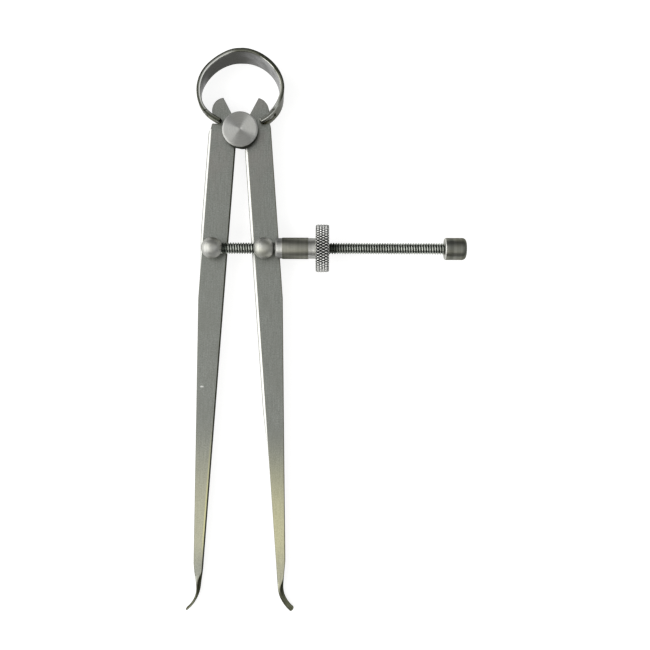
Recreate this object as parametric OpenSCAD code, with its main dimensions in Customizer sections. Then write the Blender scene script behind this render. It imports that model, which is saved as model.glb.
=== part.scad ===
// Inside spring caliper, lying flat on its back.
// The origin is the centre of the fulcrum spool's back face. +Z runs up the fulcrum axis,
// +Y points to the bow spring and +X runs along the adjusting screw to its end cap.
// Each leg is drawn in its closed place, with its inner edge along -Y, then turned open.

/* [Legs] */
// Distance from the fulcrum axis to each measuring tip
leg_length = 151; // [120:1:180]
// Width of the parallel upper part of a leg
leg_width = 7.7; // [6.6:0.1:8.6]
// Thickness of a leg
leg_thickness = 3.2; // [2.6:0.1:4]
// Distance from the fulcrum axis to the inner edge of a closed leg
inner_edge_offset = 1.6; // [1.2:0.1:2]
// Distance from the fulcrum axis down to the knee, where a leg starts to taper
knee_distance = 53; // [46:1:70]
// Width of a leg where its long taper ends
taper_width = 2.75; // [2.2:0.05:3.6]
// Angle between each leg and the middle line as the caliper lies
leg_angle = 4.2; // [2:0.1:9]

/* [Measuring tips] */
// Length of the quick taper above the bend
throat_length = 7.2; // [5:0.1:10]
// Width of a leg where the bend begins
throat_width = 1.6; // [1.3:0.05:2]
// Radius of the bend on its outer, rounded side
bend_radius = 11; // [10:0.5:15]
// Angle that the tip is bent outwards
bend_angle = 46; // [35:1:55]
// Radius of the bend on its hollow side
hollow_radius = 8.4; // [7.5:0.1:12]
// Width of the tip at its end
tip_width = 1.1; // [0.8:0.05:1.3]
// Thickness of the tip at its end
tip_thickness = 2.8; // [2:0.1:3]
// Length over which the tip gets thinner
tip_thinning = 14; // [8:1:24]

/* [Ears] */
// Height of the flat shoulder under the spring, above the fulcrum axis
shoulder_height = 1.8; // [1.4:0.1:2.4]
// Radius of the shoulder's outer corner
shoulder_round = 0.5; // [0.2:0.1:1]
// Radius of the round ear above the shoulder
ear_radius = 4.6; // [4.2:0.1:5]
// Distance from the fulcrum axis to the ear's centre, along the ear's straight inner edge
ear_distance = 7.3; // [7:0.1:7.8]
// Distance from the ear's straight inner edge out to the ear's centre
ear_offset = 0.7; // [0.4:0.05:1]
// Angle of the ear's straight inner edge from the closed leg's line
ear_angle = 32; // [30:0.5:36]

/* [Fulcrum spool] */
// Diameter of the spool's front disc
disc_d = 11; // [9:0.1:11.6]
// Diameter of the spool's back disc
back_disc_d = 8.6; // [7.6:0.1:11]
// Diameter of the spool's waist between the legs
waist_d = 6; // [5:0.1:6.6]
// Length of the spool along its axis
spool_length = 10; // [8.8:0.1:11.5]
// Size of the chamfer on the discs' rims
disc_chamfer = 0.45; // [0.2:0.05:0.8]

/* [Bow spring] */
// Outer diameter of each half of the bow
bow_d = 25.5; // [23.5:0.1:28]
// Distance from the middle line to the centre of each half of the bow
bow_spread = 0.55; // [0.2:0.05:1]
// Thickness of the spring strip
strip_thickness = 1.25; // [1:0.05:1.5]
// Width of the spring strip
strip_width = 10; // [8.8:0.1:11.5]
// Depth that the strip's middle line lies under the notch's corner
seat_depth = 0.68; // [0.5:0.02:0.9]
// Gap from the fulcrum disc to the middle of a tine's end
tine_gap = 0.8; // [0.7:0.05:1.2]
// Gap from the shoulder to the root of the slot
slot_root_gap = 0.3; // [0.2:0.05:0.6]
// Clearance between a tine and the leg that it straddles
tine_clearance = 0.15; // [0.1:0.05:0.3]

/* [Posts] */
// Distance of the posts along a leg from the fulcrum axis
post_distance = 37.4; // [32:0.1:44]
// Diameter of a post's ball head
ball_d = 6.4; // [5.8:0.1:7]
// Diameter of the collar under the ball
collar_d = 4.6; // [4.2:0.1:5.4]
// Diameter of the shank that turns in the leg
shank_d = 3.8; // [3.2:0.1:4.1]
// Diameter of the peened head at the back of the leg
peened_d = 5.6; // [5:0.1:6.4]
// Thickness of the peened head
peened_thickness = 0.9; // [0.5:0.1:1.2]
// Depth of the screw's blind seat past the middle of the anchor ball
anchor_seat_depth = 1.6; // [0.8:0.1:1.9]

/* [Adjusting screw] */
// Diameter over the screw's thread
screw_d = 3.5; // [3:0.1:3.8]
// Distance along the screw from the anchor ball's centre to the near face of the end cap
screw_reach = 71.8; // [66:0.1:90]
// Diameter of the end cap
cap_d = 6.8; // [5.6:0.1:8]
// Length of the end cap
cap_length = 6.8; // [5:0.1:9]
// Size of the chamfer on the end cap's near rim
cap_chamfer = 0.35; // [0.2:0.05:0.6]
// Radius of the end cap's rounded far rim
cap_round = 0.9; // [0.5:0.1:1.2]
// Length of the screw inside the end cap
cap_seat = 4.6; // [3:0.1:4.9]

/* [Adjusting nut] */
// Diameter of the nut's barrel
barrel_d = 6.6; // [5.8:0.1:7.2]
// Diameter of the nose and of the neck beside the flange
band_d = 6.3; // [5.4:0.1:6.6]
// Length of the nose, and of the neck
band_length = 2.3; // [1.6:0.1:3]
// Size of the chamfer on the nose
nose_chamfer = 0.5; // [0.3:0.05:0.7]
// Length of the nut from its nose to the knurled flange
barrel_length = 12.9; // [10:0.1:16]
// Diameter over the knurled flange
flange_d = 14.7; // [13.6:0.1:16]
// Width of the knurled flange
flange_width = 4.1; // [3.4:0.1:5]
// Depth of the knurl's grooves
knurl_depth = 0.32; // [0.2:0.02:0.4]
// Number of knurl points around the flange
knurl_count = 50; // [40:2:56]
// Size of the chamfer on the flange's rims
flange_chamfer = 0.4; // [0.2:0.05:0.6]
// Depth that the guide ball enters the nut past the mouth of its bore
ball_entry = 0.2; // [0.1:0.05:0.3]
// Depth of the dished faces of the flange
dish_depth = 0.3; // [0.15:0.05:0.5]
// Diameter of the dished faces
dish_d = 11; // [9.4:0.1:11.6]

/* [Clearances] */
// Clearance at each flat face that slides
face_clearance = 0.06; // [0.04:0.01:0.1]
// Radial clearance of each pin and shaft that turns
running_clearance = 0.05; // [0.03:0.01:0.09]
// Radial clearance of the pieces that are fixed on the screw
fixed_clearance = 0.01; // [0.005:0.005:0.03]
// Height of the balls and of the nut's barrel above the legs
lift_clearance = 0.25; // [0.15:0.05:0.5]
// Gap between the nut's seat and the guide ball
seat_clearance = 0.08; // [0.05:0.01:0.15]

/* [Hidden] */
$fn = 96;
// Room past a surface, so that each cut goes clean through
cut = 1;

// A point turned about the origin, and the centre of an arc of radius r from p to q
function turned(p, a) = [p[0] * cos(a) - p[1] * sin(a), p[0] * sin(a) + p[1] * cos(a)];
function arc_centre(p, q, r) =
    (p + q) / 2 + sqrt(r * r - (q - p) * (q - p) / 4) * [p[1] - q[1], q[0] - p[0]] / norm(q - p);

// Heights: the legs lie midway along the spool
leg_middle = spool_length / 2;
leg_back = leg_middle - leg_thickness / 2;
leg_face = leg_middle + leg_thickness / 2;
screw_height = leg_face + max(ball_d, barrel_d) / 2 + lift_clearance;
disc_thickness = leg_back - face_clearance;

// The bend of a tip, with the tip's end at leg_length from the fulcrum axis
bend_out = [cos(bend_angle), sin(bend_angle)];
tip_outer_x = inner_edge_offset + bend_radius * (1 - bend_out[0]);
tip_outer = [tip_outer_x, -sqrt(leg_length * leg_length - tip_outer_x * tip_outer_x)];
tip_inner = tip_outer + tip_width * bend_out;
bend_y = tip_outer[1] + bend_radius * bend_out[1];
bend_centre = [inner_edge_offset + bend_radius, bend_y];
throat = [inner_edge_offset + throat_width, bend_y];
taper_end = [inner_edge_offset + taper_width, bend_y + throat_length];
hollow_centre = arc_centre(throat, tip_inner, hollow_radius);

// The ear, and the notch's corner where the round ear meets the shoulder
ear_centre = ear_distance * [sin(ear_angle), cos(ear_angle)]
    + ear_offset * [cos(ear_angle), -sin(ear_angle)];
ear_drop = ear_centre[1] - shoulder_height;
notch_corner = turned(
    [ear_centre[0] + sqrt(ear_radius * ear_radius - ear_drop * ear_drop), shoulder_height], leg_angle);
shoulder_corner = turned([inner_edge_offset + leg_width, shoulder_height], leg_angle);

// The bow: its middle line passes seat_depth under the notch's corner
bow_outer = bow_d / 2;
bow_inner = bow_outer - strip_thickness;
bow_middle = bow_outer - strip_thickness / 2;
bow_notch = notch_corner[0] - bow_spread;
bow_y = notch_corner[1] - seat_depth + sqrt(bow_middle * bow_middle - bow_notch * bow_notch);
// Each tine ends at tine_gap from the disc, and each slot ends past the leg's shoulder
tine_reach = disc_d / 2 + tine_gap;
bow_far = norm([bow_spread, bow_y]);
tine_cos = (bow_far * bow_far + bow_middle * bow_middle - tine_reach * tine_reach)
    / (2 * bow_middle * bow_far);
tine_angle = acos(tine_cos) - atan(bow_spread / bow_y);
shoulder_drop = bow_y - shoulder_corner[1];
root_x = sqrt(bow_outer * bow_outer - shoulder_drop * shoulder_drop) + slot_root_gap;
root_angle = asin(root_x / bow_outer);

// The posts stand on the middle of each leg's width
post_in_leg = [inner_edge_offset + leg_width / 2, -post_distance];
post = turned(post_in_leg, leg_angle);
screw_y = post[1];
shank_hole_d = shank_d + 2 * running_clearance;
guide_hole_d = screw_d + 2 * running_clearance;

// The nut's nose touches the guide ball where the ball enters the nut's bore
nut_bore_d = screw_d + 2 * running_clearance;
seat_radius = ball_d / 2 + seat_clearance;
nose_from_ball = sqrt(seat_radius * seat_radius - nut_bore_d * nut_bore_d / 4) - ball_entry;
nose_x = post[0] + nose_from_ball;
cap_x = screw_reach - post[0];

// The flange: its knurl's rows and columns of points and grooves, and the rim's inner radius
knurl_rows = 5;
knurl_columns = 2 * knurl_count;
rim_inner = dish_d / 2;

steel = [0.55, 0.56, 0.54];
bright_steel = [0.68, 0.69, 0.67];
spring_steel = [0.42, 0.43, 0.39];
dark_steel = [0.36, 0.37, 0.34];

// A sector about the origin, centred on -Y, that reaches a given angle to each side
module sector(half_angle, reach) {
    side = reach * [sin(half_angle), cos(half_angle)];
    polygon([[0, 0], [-side[0], -side[1]], [-side[0], -2 * reach], [side[0], -2 * reach],
             [side[0], -side[1]]]);
}

// The round ear, straight along its inner edge
module ear_outline() {
    rotate(-ear_angle)
        intersection() {
            translate([ear_offset, ear_distance]) circle(ear_radius);
            translate([0, ear_distance - 2 * ear_radius]) square(4 * ear_radius);
        }
}

// The upper leg with its rounded shoulder, and the two tapers below the knee
module shank_outline() {
    outer = inner_edge_offset + leg_width;
    polygon([[inner_edge_offset, shoulder_height], [outer - shoulder_round, shoulder_height],
             [outer - shoulder_round, shoulder_height - shoulder_round],
             [outer, shoulder_height - shoulder_round], [outer, -knee_distance],
             taper_end, throat, [inner_edge_offset, bend_y]]);
    translate([outer - shoulder_round, shoulder_height - shoulder_round]) circle(shoulder_round);
}

// The bent tip: round outside, hollow inside, with a rounded end
module tip_outline() {
    reach = 2 * bend_radius;
    difference() {
        intersection() {
            translate(bend_centre) circle(bend_radius);
            translate(bend_centre)
                polygon([[0, 0], [-reach, 0], [-reach, -reach], -reach * bend_out]);
        }
        translate(hollow_centre) circle(hollow_radius);
    }
    translate((tip_outer + tip_inner) / 2) circle(tip_width / 2);
}

// The leg seen from the side: level, then thinner towards the tip on both faces
module leg_side() {
    end = leg_length + cut;
    rotate([90, 0, 90])
        linear_extrude(leg_length)
            polygon([[2 * ear_distance, leg_back], [2 * ear_distance, leg_face],
                     [tip_thinning - leg_length, leg_face],
                     [-end, leg_middle + tip_thickness / 2], [-end, leg_middle - tip_thickness / 2],
                     [tip_thinning - leg_length, leg_back]]);
}

// A right leg, with the recess that seats on the spool's waist and the hole for its post
module leg() {
    rotate(leg_angle)
        difference() {
            intersection() {
                translate([0, 0, leg_back])
                    union() {
                        linear_extrude(leg_thickness) shank_outline();
                        linear_extrude(leg_thickness) ear_outline();
                        linear_extrude(leg_thickness) tip_outline();
                    }
                leg_side();
            }
            translate([0, 0, leg_back - cut])
                cylinder(h = leg_thickness + 2 * cut, d = waist_d + 2 * running_clearance);
            translate([post_in_leg[0], post_in_leg[1], leg_back - cut])
                cylinder(h = leg_thickness + 2 * cut, d = shank_hole_d);
        }
}

module right_leg() {
    color(steel) leg();
}

module left_leg() {
    color(steel) mirror([1, 0, 0]) leg();
}

// Half of the bow: a strip bent round, with a slot in its end for the leg
module bow_half() {
    translate([bow_spread, 0, 0])
        difference() {
            linear_extrude(strip_width)
                difference() {
                    circle(bow_outer);
                    circle(bow_inner);
                    translate([-bow_d, -bow_d]) square([bow_d, 2 * bow_d]);
                    sector(tine_angle, bow_outer);
                }
            translate([0, 0, (strip_width - leg_thickness) / 2 - tine_clearance])
                linear_extrude(leg_thickness + 2 * tine_clearance)
                    sector(root_angle, bow_outer);
        }
}

// The bow spring: one flat strip, bent to a ring that is a little wider than it is tall
module bow_spring() {
    color(spring_steel)
        translate([0, bow_y, leg_middle - strip_width / 2])
            union() {
                bow_half();
                mirror([1, 0, 0]) bow_half();
                translate([-bow_spread, bow_inner, 0])
                    cube([2 * bow_spread, strip_thickness, strip_width]);
            }
}

// The fulcrum: one turned spool, with a chamfer on the rim of each disc
module fulcrum_spool() {
    r = disc_d / 2;
    back_r = back_disc_d / 2;
    color(bright_steel)
        rotate_extrude()
            polygon([[0, 0], [back_r - disc_chamfer, 0], [back_r, disc_chamfer], [back_r, disc_thickness],
                     [waist_d / 2, disc_thickness], [waist_d / 2, spool_length - disc_thickness],
                     [r, spool_length - disc_thickness], [r, spool_length - disc_chamfer],
                     [r - disc_chamfer, spool_length], [0, spool_length]]);
}

// A turned post: ball head, collar, shank through the leg and a head peened over behind it
module post_body() {
    collar_z = leg_face + face_clearance;
    head_z = leg_back - face_clearance;
    translate([0, 0, screw_height]) sphere(d = ball_d);
    translate([0, 0, collar_z]) cylinder(h = screw_height - collar_z, d = collar_d);
    translate([0, 0, head_z]) cylinder(h = collar_z - head_z, d = shank_d);
    translate([0, 0, head_z - peened_thickness])
        cylinder(h = peened_thickness, d1 = peened_d - 2 * peened_thickness, d2 = peened_d);
}

// A straight hole along the screw, from x = start to x = end
module screw_hole(start, end, d) {
    translate([start, 0, screw_height]) rotate([0, 90, 0]) cylinder(h = end - start, d = d);
}

// The left post holds the end of the screw in a blind seat
module anchor_post() {
    color(bright_steel)
        translate([-post[0], screw_y, 0])
            difference() {
                post_body();
                screw_hole(-anchor_seat_depth, ball_d, screw_d + 2 * fixed_clearance);
            }
}

// The screw slides through the right post, and the nut bears on its ball
module guide_post() {
    color(bright_steel)
        translate([post[0], screw_y, 0])
            difference() {
                post_body();
                screw_hole(-ball_d, ball_d, guide_hole_d);
            }
}

module adjusting_screw() {
    color(dark_steel)
        translate([-post[0], screw_y, screw_height])
            rotate([0, 90, 0])
                translate([0, 0, -anchor_seat_depth])
                    cylinder(h = anchor_seat_depth + screw_reach + cap_seat, d = screw_d);
}

// The end cap: a plain turned button with a rounded far rim and a blind seat for the screw
module screw_end_cap() {
    r = cap_d / 2;
    color(steel)
        translate([cap_x, screw_y, screw_height])
            rotate([0, 90, 0])
                difference() {
                    rotate_extrude() {
                        polygon([[0, 0], [r - cap_chamfer, 0], [r, cap_chamfer], [r, cap_length - cap_round],
                                 [r - cap_round, cap_length - cap_round], [r - cap_round, cap_length],
                                 [0, cap_length]]);
                        translate([r - cap_round, cap_length - cap_round])
                            intersection() {
                                circle(cap_round);
                                square(cap_round);
                            }
                    }
                    translate([0, 0, -cut]) cylinder(h = cut + cap_seat, d = screw_d + 2 * fixed_clearance);
                }
}

// The diamond knurl: rows of points that stand between crossing grooves.
// Row and column are counted over a lattice, and each odd place is a groove's crossing.
function knurl_radius(row, column) =
    flange_d / 2 - knurl_depth * ((row + column) % 2)
    - (row == 0 || row == knurl_rows ? flange_chamfer : 0);

function around(radius, column, height) =
    [radius * cos(360 * column / knurl_columns), radius * sin(360 * column / knurl_columns), height];

// Each lattice cell is two triangles that meet along the line between its two groove crossings
function cell(a, b, c, d, across) = across ? [[a, b, d], [b, c, d]] : [[a, b, c], [a, c, d]];

module knurled_rim() {
    n = knurl_columns;
    inner_start = (knurl_rows + 1) * n;
    outer_points = [
        for (row = [0 : knurl_rows]) for (column = [0 : n - 1])
            around(knurl_radius(row, column), column, row * flange_width / knurl_rows)
    ];
    inner_points = [
        for (height = [0, flange_width]) for (column = [0 : n - 1]) around(rim_inner, column, height)
    ];
    outer_faces = [
        for (row = [0 : knurl_rows - 1]) for (column = [0 : n - 1])
            let (next = (column + 1) % n, low = row * n, high = low + n)
                each cell(low + column, high + column, high + next, low + next, (row + column) % 2 == 0)
    ];
    end_faces = [
        for (column = [0 : n - 1])
            let (next = (column + 1) % n, top = knurl_rows * n, inner_top = inner_start + n)
                each concat(
                    cell(column, next, inner_start + next, inner_start + column, true),
                    cell(top + column, inner_top + column, inner_top + next, top + next, true),
                    cell(inner_start + column, inner_start + next, inner_top + next, inner_top + column, true))
    ];
    polyhedron(points = concat(outer_points, inner_points), faces = concat(outer_faces, end_faces));
}

// The nut: nose, barrel, neck and dished flange turned in one piece, with a knurled rim
module adjusting_nut() {
    nose_r = band_d / 2;
    core_r = (rim_inner + flange_d / 2 - flange_chamfer - knurl_depth) / 2;
    neck_start = barrel_length - band_length;
    core_start = barrel_length + dish_depth;
    core_end = barrel_length + flange_width - dish_depth;
    color(bright_steel)
        translate([nose_x, screw_y, screw_height])
            rotate([0, 90, 0]) {
                difference() {
                    rotate_extrude()
                        polygon([[0, 0], [nose_r - nose_chamfer, 0], [nose_r, nose_chamfer],
                                 [nose_r, band_length], [barrel_d / 2, band_length],
                                 [barrel_d / 2, neck_start], [nose_r, neck_start], [nose_r, core_start],
                                 [core_r, core_start], [core_r, core_end], [0, core_end]]);
                    translate([0, 0, -cut])
                        cylinder(h = 2 * cut + barrel_length + flange_width, d = nut_bore_d);
                    translate([0, 0, -nose_from_ball]) sphere(seat_radius);
                }
                translate([0, 0, barrel_length]) knurled_rim();
            }
}

left_leg();
right_leg();
bow_spring();
fulcrum_spool();
anchor_post();
guide_post();
adjusting_screw();
screw_end_cap();
adjusting_nut();
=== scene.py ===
import bmesh
import bpy
import numpy as np
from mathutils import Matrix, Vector


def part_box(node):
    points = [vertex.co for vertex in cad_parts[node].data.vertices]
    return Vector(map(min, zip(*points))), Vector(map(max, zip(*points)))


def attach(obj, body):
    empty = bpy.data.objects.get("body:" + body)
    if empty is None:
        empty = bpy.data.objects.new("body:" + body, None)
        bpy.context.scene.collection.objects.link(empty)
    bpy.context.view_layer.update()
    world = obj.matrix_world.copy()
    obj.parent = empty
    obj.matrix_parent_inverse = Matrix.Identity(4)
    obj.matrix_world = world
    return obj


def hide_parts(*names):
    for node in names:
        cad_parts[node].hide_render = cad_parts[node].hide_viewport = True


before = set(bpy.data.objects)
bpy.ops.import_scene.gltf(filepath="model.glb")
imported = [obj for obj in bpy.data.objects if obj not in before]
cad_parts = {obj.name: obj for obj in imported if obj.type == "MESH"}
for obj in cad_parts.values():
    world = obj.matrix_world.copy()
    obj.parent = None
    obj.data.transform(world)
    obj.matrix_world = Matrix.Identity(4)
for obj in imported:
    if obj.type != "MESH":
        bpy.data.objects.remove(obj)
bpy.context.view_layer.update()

# The fulcrum spool is one piece of bar steel, turned in a lathe to a waist between two discs.
# The legs seat on its waist. Its faces keep the tool's fine rings, which glint as a bow tie.
MM = 0.001
scene = bpy.context.scene


def node_box(node):
    """Lowest and highest corner of a CAD node at rest, in millimetres."""
    return [np.array(corner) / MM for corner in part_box(node)]


spool_top = node_box("fulcrum_spool")[1]
leg_low, leg_high = node_box("right_leg")
disc_radius = spool_top[0]
back_disc_radius = 4.3
waist_radius = 3.0
disc_chamfer = 0.45
turned_edge = 0.06
turned_segments = 128
merge_distance = 0.0005
spool_dark = (0.55, 0.555, 0.54)
spool_light = (0.60, 0.605, 0.585)
spool_stain = (0.53, 0.53, 0.50)
speck_colour = (0.05, 0.05, 0.04)
# Colour of the turned walls, painted dark as shade
turned_wall_shade = (0.05, 0.053, 0.045)
worn_edge_colour = (0.85, 0.85, 0.82)
turned_edge_tint = (0.55, 0.55, 0.52)
turned_stain_share = 0.5
turned_speck_share = 0.35
turned_tarnish_size = 4.0
dull_ring_rough = 0.06
# Strengths of noise between which a tone, a patch of stain and a speck rise from nothing to full
tone_band = (0.3, 0.7)
patch_band = (0.38, 0.68)
speck_band = (0.62, 0.74)


def rounded_path(corners, radii, steps=5):
    """Straight lines through the corners, each inner corner replaced by an arc that touches both lines.

    The arc starts radius * tan(half the turn) before its corner and runs in equal angles.
    """
    corners = np.asarray(corners, float)
    radii = np.broadcast_to(radii, len(corners) - 2)
    parts = [corners[:1]]
    for before, corner, after, radius in zip(corners, corners[1:], corners[2:], radii):
        into = (corner - before) / np.linalg.norm(corner - before)
        onward = (after - corner) / np.linalg.norm(after - corner)
        turn = np.arctan2(into[0] * onward[1] - into[1] * onward[0], into @ onward)
        side = np.sign(turn) * np.array([-into[1], into[0]])
        start = corner - into * radius * np.tan(abs(turn) / 2)
        angle = np.linspace(0, abs(turn), steps)[:, None]
        parts.append(start + radius * (side * (1 - np.cos(angle)) + into * np.sin(angle)))
    parts.append(corners[-1:])
    return np.concatenate(parts)


def grid_faces(rows, columns, wrap_rows=False):
    """Quads of a grid of points counted row by row, closed across its columns and, if asked, its rows."""
    i, j = np.indices((rows if wrap_rows else rows - 1, columns))
    below = (i + 1) % rows * columns
    right = (j + 1) % columns
    return np.stack([i * columns + j, i * columns + right, below + right, below + j], -1).reshape(-1, 4)


def turned_grid(profile, segments, along_x=False):
    """Surface of revolution: each profile point (radius, height) sweeps a circle about Z, or about X."""
    angle = np.linspace(0, 2 * np.pi, segments, endpoint=False)
    radius, height = profile[:, :1], np.broadcast_to(profile[:, 1:], (len(profile), segments))
    ring = [radius * np.cos(angle), radius * np.sin(angle)]
    return np.stack([height] + ring if along_x else ring + [height], -1)


def new_object(name, data):
    """Makes an object of its data and links it to the scene."""
    made = bpy.data.objects.new(name, data)
    scene.collection.objects.link(made)
    return made


def add_piece(name, points, faces, body, node, material, marks=None):
    """Makes one smooth piece from points in millimetres, which replaces its CAD node on its body.

    Doubles merge, faces point outwards and flats stay flat. Marks are values by point for the material.
    """
    mesh = bpy.data.meshes.new(name)
    mesh.from_pydata((np.reshape(points, (-1, 3)) * MM).tolist(), [], [list(face) for face in faces])
    for key, values in (marks or {}).items():
        layer = mesh.attributes.new(key, "FLOAT", "POINT")
        layer.data.foreach_set("value", np.ravel(values).astype(np.float32))
    work = bmesh.new()
    work.from_mesh(mesh)
    bmesh.ops.remove_doubles(work, verts=work.verts, dist=merge_distance * MM)
    bmesh.ops.recalc_face_normals(work, faces=work.faces)
    work.to_mesh(mesh)
    work.free()
    mesh.shade_smooth()
    piece = new_object(name, mesh)
    flats = piece.modifiers.new("flat faces", "WEIGHTED_NORMAL")
    flats.keep_sharp = True
    mesh.materials.append(material)
    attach(piece, body)
    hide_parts(node)


def put(tree, kind, inputs=None, **settings):
    """Adds a shader node with its settings; each input is linked to a socket or given a value."""
    node = tree.nodes.new(kind)
    for key, value in settings.items():
        setattr(node, key, value)
    for key, value in (inputs or {}).items():
        if isinstance(value, bpy.types.NodeSocket):
            tree.links.new(value, node.inputs[key])
        else:
            node.inputs[key].default_value = value
    return node


def tree_of(values):
    """The node tree that the first socket among some values belongs to."""
    return next(value.id_data for value in values if isinstance(value, bpy.types.NodeSocket))


def reckon(operation, *values):
    """Result of one Math node of the given operation."""
    return put(tree_of(values), "ShaderNodeMath", dict(enumerate(values)), operation=operation).outputs[0]


def times(first, second):
    """Product of two values."""
    return reckon("MULTIPLY", first, second)


def vector_reckon(operation, *vectors):
    """Result of one Vector Math node of the given operation: a vector, or the value of a length."""
    node = put(tree_of(vectors), "ShaderNodeVectorMath", dict(enumerate(vectors)), operation=operation)
    return node.outputs["Value" if operation == "LENGTH" else "Vector"]


def split(vector):
    """The three parts of a vector."""
    return put(vector.id_data, "ShaderNodeSeparateXYZ", {0: vector}).outputs


def spread(value, low, high, to_low=0.0, to_high=1.0):
    """Maps a value from one range to another along a smooth step, held at both ends."""
    ends = {"Value": value, "From Min": low, "From Max": high, "To Min": to_low, "To Max": to_high}
    return put(value.id_data, "ShaderNodeMapRange", ends, interpolation_type="SMOOTHSTEP").outputs[0]


def over(place, run):
    """Rises from 0 to 1 as a place goes from the run's first length to its second, in millimetres."""
    return spread(place, run[0] * MM, run[1] * MM)


def blend(factor, first, second):
    """Goes from the first colour to the second as the factor rises; each is a socket or a plain colour."""
    first, second = [end if isinstance(end, bpy.types.NodeSocket) else (*end, 1) for end in (first, second)]
    return put(factor.id_data, "ShaderNodeMix", {0: factor, 6: first, 7: second}, data_type="RGBA").outputs[2]


def noise(place, scale, detail):
    """Strength of noise round a vector, or along a line where the place is a single value."""
    on_line = place.type == "VALUE"
    inputs = {"W" if on_line else "Vector": place, "Scale": scale, "Detail": detail}
    kind = "1D" if on_line else "3D"
    return put(place.id_data, "ShaderNodeTexNoise", inputs, noise_dimensions=kind).outputs[0]


def mark(tree, name):
    """A value that the piece carries by point."""
    return put(tree, "ShaderNodeAttribute", attribute_name=name).outputs["Fac"]


def start_group(name, *lengths):
    """Starts a shader node group with a place and named lengths; returns its tree and input sockets."""
    tree = bpy.data.node_groups.new(name, "ShaderNodeTree")
    tree.interface.new_socket("Vector", in_out="INPUT", socket_type="NodeSocketVector")
    for length in lengths:
        tree.interface.new_socket(length, in_out="INPUT", socket_type="NodeSocketFloat")
    return tree, put(tree, "NodeGroupInput").outputs


def end_group(tree, **results):
    """Ends a shader node group with its named results."""
    for result in results:
        tree.interface.new_socket(result, in_out="OUTPUT", socket_type="NodeSocketFloat")
    put(tree, "NodeGroupOutput", results)
    return tree


def turning_marks():
    """Rings that a lathe tool leaves on flats and barrels alike: noise along radius plus height."""
    tree, given = start_group("turning marks", "Spacing")
    flat = vector_reckon("MULTIPLY", given["Vector"], (1, 1, 0))
    radius = vector_reckon("LENGTH", flat)
    height = split(given["Vector"])[2]
    travel = reckon("DIVIDE", reckon("ADD", radius, height), given["Spacing"])
    tone = spread(noise(travel, scale=0.23, detail=1.0), *tone_band)
    return end_group(tree, Height=noise(travel, scale=1.0, detail=2.0), Tone=tone)


def handling_tarnish():
    """Patches of faint stain, from slow noise, and small dark specks where fine noise peaks."""
    tree, given = start_group("handling tarnish", "Size")
    place = vector_reckon("DIVIDE", given["Vector"], given["Size"])
    patches = spread(noise(place, scale=1.0, detail=4.0), *patch_band)
    specks = spread(noise(place, scale=14.0, detail=3.0), *speck_band)
    return end_group(tree, Patches=patches, Specks=specks)


turning_group = turning_marks()
tarnish_group = handling_tarnish()


def place_group(group, vector, **lengths):
    """Puts a node group into a material, with lengths in millimetres; returns its output sockets."""
    inputs = {key: length * MM for key, length in lengths.items()}
    return put(vector.id_data, "ShaderNodeGroup", {"Vector": vector, **inputs}, node_tree=group).outputs


def new_material(name):
    """An empty node material, its tree, and the place on the piece in metres."""
    material = bpy.data.materials.new(name)
    material.use_nodes = True
    tree = material.node_tree
    tree.nodes.clear()
    return material, tree, put(tree, "ShaderNodeTexCoord").outputs["Object"]


def about_screw(place, centre):
    """Turns a place so that an axis along +X through the centre (y, z) in millimetres becomes Z."""
    quarter = -np.pi / 2
    shift = (-centre[0] * MM, -centre[1] * MM, 0)
    turn = {"Vector": place, "Location": shift, "Rotation": (quarter, quarter, 0)}
    return put(place.id_data, "ShaderNodeMapping", turn).outputs[0]


def steel_shader(colour, roughness, height, relief, edge_tint):
    """Ends a material in bare metal: varying colour and roughness, and relief in millimetres as a bump."""
    tree = colour.id_data
    bump = put(tree, "ShaderNodeBump", {"Strength": 1.0, "Distance": relief * MM, "Height": height})
    finish = {"Base Color": colour, "Roughness": roughness, "Normal": bump.outputs[0], "Metallic": 1.0,
              "Specular Tint": (*edge_tint, 1)}
    metal = put(tree, "ShaderNodeBsdfPrincipled", finish)
    put(tree, "ShaderNodeOutputMaterial", {"Surface": metal.outputs[0]})
    return metal


def turned_steel(name, dark, light, stain, rough, spacing, relief, centre=None):
    """Lathe-turned steel: rings set tone, gloss and relief, under stains, specks, walls painted dark as
    shade, and worn edges.

    Where a centre (y, z) is given, the piece was turned about the screw's axis. Otherwise it was turned about
    the fulcrum, and its gloss stretches across the rings.
    """
    material, tree, place = new_material(name)
    turned = place if centre is None else about_screw(place, centre)
    rings = place_group(turning_group, turned, Spacing=spacing)
    tarnish = place_group(tarnish_group, place, Size=turned_tarnish_size)
    clean = blend(rings["Tone"], dark, light)
    stained = blend(times(tarnish["Patches"], turned_stain_share), clean, stain)
    specked = blend(times(tarnish["Specks"], turned_speck_share), stained, speck_colour)
    # Walls are painted dark as shade
    wall_shaded = blend(mark(tree, "wall"), specked, turned_wall_shade)
    colour = blend(mark(tree, "worn"), wall_shaded, worn_edge_colour)
    gloss = spread(rings["Tone"], 0.0, 1.0, rough + dull_ring_rough, rough)
    metal = steel_shader(colour, gloss, rings["Height"], relief, turned_edge_tint)
    if centre is None:
        lay = vector_reckon("NORMALIZE", vector_reckon("CROSS_PRODUCT", (0, 0, 1), turned))
        tree.links.new(lay, metal.inputs["Tangent"])
        metal.inputs["Anisotropic"].default_value = 1.0
        metal.inputs["Anisotropic Rotation"].default_value = 0.25
    return material


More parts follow.
